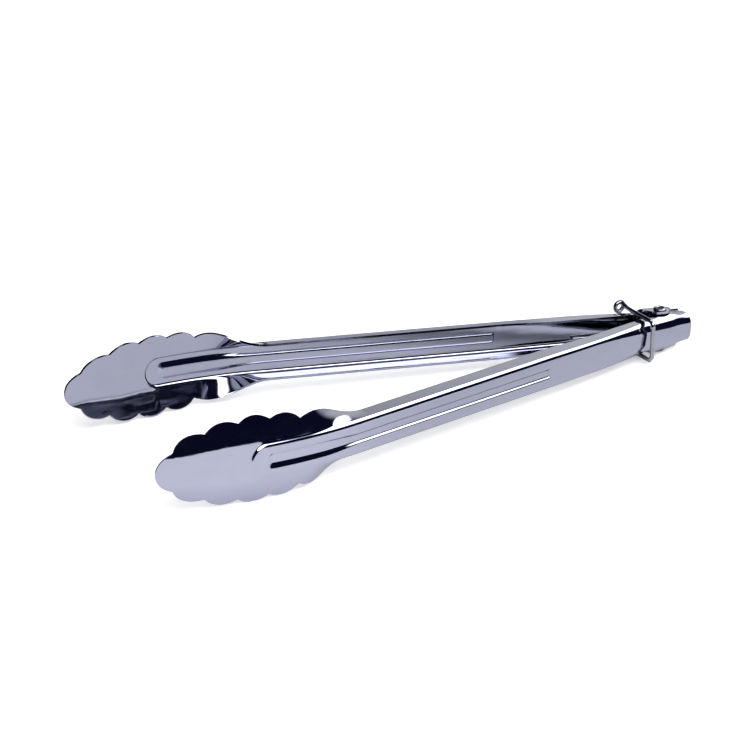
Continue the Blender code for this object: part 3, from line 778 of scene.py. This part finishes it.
class BuildSpring(bpy.types.Operator):
    """Build the torsion spring: the coil stays with the rivet, and the two legs are built in place"""

    bl_idname = "tongs.build_spring"
    bl_label = "Spring"

    def execute(self, context):
        size, finish = context.scene.tongs_sizes, context.scene.tongs_finish
        steel = polished_steel("spring_steel", finish.spring_colour, SPRING_POLISH)
        coil, right_leg, left_leg = spring_paths(size.spring_wire, size.sheet)
        body = tube("spring_coil", coil, size.spring_wire / 2, (0, 0, 1))
        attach(body, "hinge")
        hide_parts("torsion_spring")
        legs = [("spring_right_leg", right_leg, "right"), ("spring_left_leg", left_leg, "left")]
        pieces = [body]
        for name, path, arm in legs:
            piece = tube(name, path, size.spring_wire / 2, (0, 0, 1))
            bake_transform(piece)
            pieces.append(piece)
        for piece in pieces:
            piece.data.materials.append(steel)
        return {"FINISHED"}


def ring_path(wire):
    """The eye, a bend into the ring's own plane and down to the arms' tops, then over both arms, down the
    near side, under them and up the far side to just below the eye."""
    x = -RING_FORWARD
    eye = arc_points((EYE_FORWARD, EYE_UP), EYE_RADIUS, -215, 90, 17)
    points = [(-forward, RING_FAR_SIDE, up) for forward, up in eye]
    crest = EYE_UP + EYE_RADIUS
    points += [
        (-EYE_FORWARD + 0.0009, RING_FAR_SIDE - 0.0003, crest),
        (x + 0.0003, RING_FAR_SIDE - 0.0012, crest - 0.0002),
        (x, RING_FAR_SIDE - 0.0026, crest - 0.0006),
        (x, RING_FAR_SIDE - 0.0050, RING_TOP + 0.0002),
        (x, RING_FAR_SIDE - 0.0075, RING_TOP),
    ]
    level = RING_TOP - RING_CORNER
    corners = (
        ((RING_CORNER - RING_NEAR_TOP, level), 90),
        ((RING_CORNER - RING_NEAR_BOTTOM, -level), 180),
        ((RING_FAR_SIDE - RING_CORNER, -level), 270),
    )
    for centre, start in corners:
        points += [(x, y, z) for y, z in arc_points(centre, RING_CORNER, start, start + 90, 7)]
    points.append((x, RING_FAR_SIDE, EYE_UP - EYE_RADIUS - wire / 2 - 2 * GAP))
    return rounded(points, 6)


class BuildRing(bpy.types.Operator):
    """Build the lock ring, one bent wire with an upright eye"""

    bl_idname = "tongs.build_ring"
    bl_label = "Lock ring"

    def execute(self, context):
        size, finish = context.scene.tongs_sizes, context.scene.tongs_finish
        ring = tube("ring_wire", ring_path(size.ring_wire), size.ring_wire / 2, (1, 1, 0))
        ring.data.materials.append(polished_steel("ring_steel", finish.ring_colour, RING_POLISH))
        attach(ring, "ring")
        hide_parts("lock_ring")
        return {"FINISHED"}


# ---- Stage -----------------------------------------------------------------------------------------------
def sky_band(tree, up, rise, fall):
    """1 where the direction's height is between the two pairs of sines, and 0 outside them."""
    above = map_range(tree, up, *rise, 0.0, 1.0, smooth=True)
    return math_node(tree, "MULTIPLY", above, map_range(tree, up, *fall, 1.0, 0.0, smooth=True))


def facing(tree, direction, bearing, spread):
    """1 where a direction points along a bearing, by their dot product, and 0 where it points away."""
    dot = tree.nodes.new("ShaderNodeVectorMath")
    dot.operation = "DOT_PRODUCT"
    tree.links.new(direction, dot.inputs[0])
    dot.inputs[1].default_value = bearing
    return map_range(tree, dot.outputs["Value"], *spread, 0.0, 1.0, smooth=True)


def painted_bounce_shade(tree, path):
    """Painted shade between the parts: how much of what the steel shows is painted over with the room's dark
    colour once it goes from one face of the steel to another: none, then most of it.
    """
    deep = math_node(tree, "GREATER_THAN", path.outputs["Glossy Depth"], BOUNCES)
    return math_node(tree, "MULTIPLY", deep, BOUNCE_SHADE)


def colour_mix(tree, share, a, b):
    """One colour where the share is 0 and the other where it is 1; each is a socket or three numbers."""
    node = tree.nodes.new("ShaderNodeMix")
    node.data_type = "RGBA"
    tree.links.new(share, node.inputs["Factor"])
    for socket, value in ((node.inputs["A"], a), (node.inputs["B"], b)):
        if isinstance(value, bpy.types.NodeSocket):
            tree.links.new(value, socket)
        else:
            socket.default_value = (*value, 1.0)
    return node.outputs["Result"]


def studio_world(studio):
    """The room the steel reflects: dark to the left and low in front, a grey wall behind that brightens
    upward, a grey ceiling, and one wide softbox high in front. Seen directly it is plain and white."""
    world = bpy.data.worlds.new("studio")
    bpy.context.scene.world = world
    world.use_nodes = True
    tree = world.node_tree
    direction = tree.nodes.new("ShaderNodeTexCoord").outputs["Generated"]
    split = tree.nodes.new("ShaderNodeSeparateXYZ")
    tree.links.new(direction, split.inputs[0])
    up = split.outputs["Z"]
    wall = math_node(tree, "MULTIPLY", sky_band(tree, up, WALL_RISE, WALL_FALL),
                     facing(tree, direction, WALL_BEARING, WALL_SPREAD))
    box = math_node(tree, "MULTIPLY", sky_band(tree, up, BOX_RISE, BOX_FALL),
                    facing(tree, direction, BOX_BEARING, BOX_SPREAD))
    upper = map_range(tree, up, *WALL_BRIGHTENS, 0.0, 1.0, smooth=True)
    ceiling = map_range(tree, up, *CEILING_RISE, 0.0, 1.0, smooth=True)
    lit = colour_mix(tree, wall, studio.room, colour_mix(tree, upper, studio.back_wall, UPPER_WALL))
    lit = colour_mix(tree, box, lit, (studio.softbox,) * 3)
    lit = colour_mix(tree, ceiling, lit, studio.back_wall)
    path = tree.nodes.new("ShaderNodeLightPath")
    # painted shade: past a few reflections the room's dark colour is painted over what the steel shows
    lit = colour_mix(tree, painted_bounce_shade(tree, path), lit, studio.room)
    seen = colour_mix(tree, path.outputs["Is Camera Ray"], lit, (1.0, 1.0, 1.0))
    tree.links.new(seen, tree.nodes["Background"].inputs["Color"])


def add_camera():
    """The camera looks along its azimuth and down by its elevation, rolled about its own line of sight."""
    a, e = CAMERA_AZIMUTH, CAMERA_ELEVATION
    right = Vector((math.cos(a), -math.sin(a), 0.0))
    ahead = Vector((math.sin(a) * math.cos(e), math.cos(a) * math.cos(e), -math.sin(e)))
    up = Vector((math.sin(a) * math.sin(e), math.cos(a) * math.sin(e), math.cos(e)))
    c, s = math.cos(CAMERA_ROLL), math.sin(CAMERA_ROLL)
    side, top = c * right + s * up, c * up - s * right
    place = Vector(PIVOT) - CAMERA_DISTANCE * ahead + CAMERA_RIGHT * side + CAMERA_UP * top
    data = bpy.data.cameras.new("camera")
    data.lens = CAMERA_LENS
    data.sensor_width = 36.0
    data.clip_end = 50.0
    camera = bpy.data.objects.new("camera", data)
    turn = Matrix((side, top, -ahead)).transposed().to_4x4()
    camera.matrix_world = Matrix.Translation(place) @ turn
    bpy.context.scene.collection.objects.link(camera)
    bpy.context.scene.camera = camera


class BuildStage(bpy.types.Operator):
    """Build the pale floor, the soft studio light and the camera"""

    bl_idname = "tongs.build_stage"
    bl_label = "Stage"

    def execute(self, context):
        studio = context.scene.tongs_studio
        corners = FLOOR_HALF * np.array([[-1.0, -1.0], [1.0, -1.0], [1.0, 1.0], [-1.0, 1.0]])
        heights = math.tan(FLOOR_TILT) * (corners[:, :1] - FLOOR_TOUCH) - FLOOR_GAP
        floor = new_piece("floor", np.concatenate([corners, heights], axis=1), [(0, 1, 2, 3)])
        floor.data.materials.append(pale_floor(studio))
        lamp = bpy.data.lights.new("overhead", "AREA")
        lamp.shape = "DISK"
        lamp.size = LAMP_SIZE
        lamp.energy = studio.overhead
        light = bpy.data.objects.new("overhead", lamp)
        light.location = LAMP_PLACE
        light.rotation_euler = Vector(LAMP_PLACE).to_track_quat("Z", "Y").to_euler()
        light.visible_glossy = False
        context.scene.collection.objects.link(light)
        studio_world(studio)
        context.scene.view_settings.view_transform = "Standard"
        add_camera()
        return {"FINISHED"}


# ---- Sidebar and registration ----------------------------------------------------------------------------
OPERATORS = (BuildArms, BuildRivet, BuildSpring, BuildRing, BuildStage)
SETTINGS = (("tongs_sizes", TongsSizes), ("tongs_finish", TongsFinish), ("tongs_studio", TongsStudio))


class TongsPanel(bpy.types.Panel):
    """Sizes, colours and the build steps of the kitchen tongs"""

    bl_idname = "TONGS_PT_build"
    bl_label = "Kitchen tongs"
    bl_space_type = "VIEW_3D"
    bl_region_type = "UI"
    bl_category = "Tongs"

    def draw(self, context):
        layout = self.layout
        for name, group in SETTINGS:
            box = layout.box()
            for label in group.__annotations__:
                box.prop(getattr(context.scene, name), label)
        for operator in OPERATORS:
            layout.operator(operator.bl_idname)


def register():
    for name, group in SETTINGS:
        bpy.utils.register_class(group)
        setattr(bpy.types.Scene, name, PointerProperty(type=group))
    for cls in (*OPERATORS, TongsPanel):
        bpy.utils.register_class(cls)


def unregister():
    for cls in reversed((*OPERATORS, TongsPanel)):
        bpy.utils.unregister_class(cls)
    for name, group in reversed(SETTINGS):
        delattr(bpy.types.Scene, name)
        bpy.utils.unregister_class(group)


def main():
    register()
    bpy.ops.tongs.build_arms()
    bpy.ops.tongs.build_rivet()
    bpy.ops.tongs.build_spring()
    bpy.ops.tongs.build_ring()
    bpy.ops.tongs.build_stage()


if __name__ == "__main__":
    main()
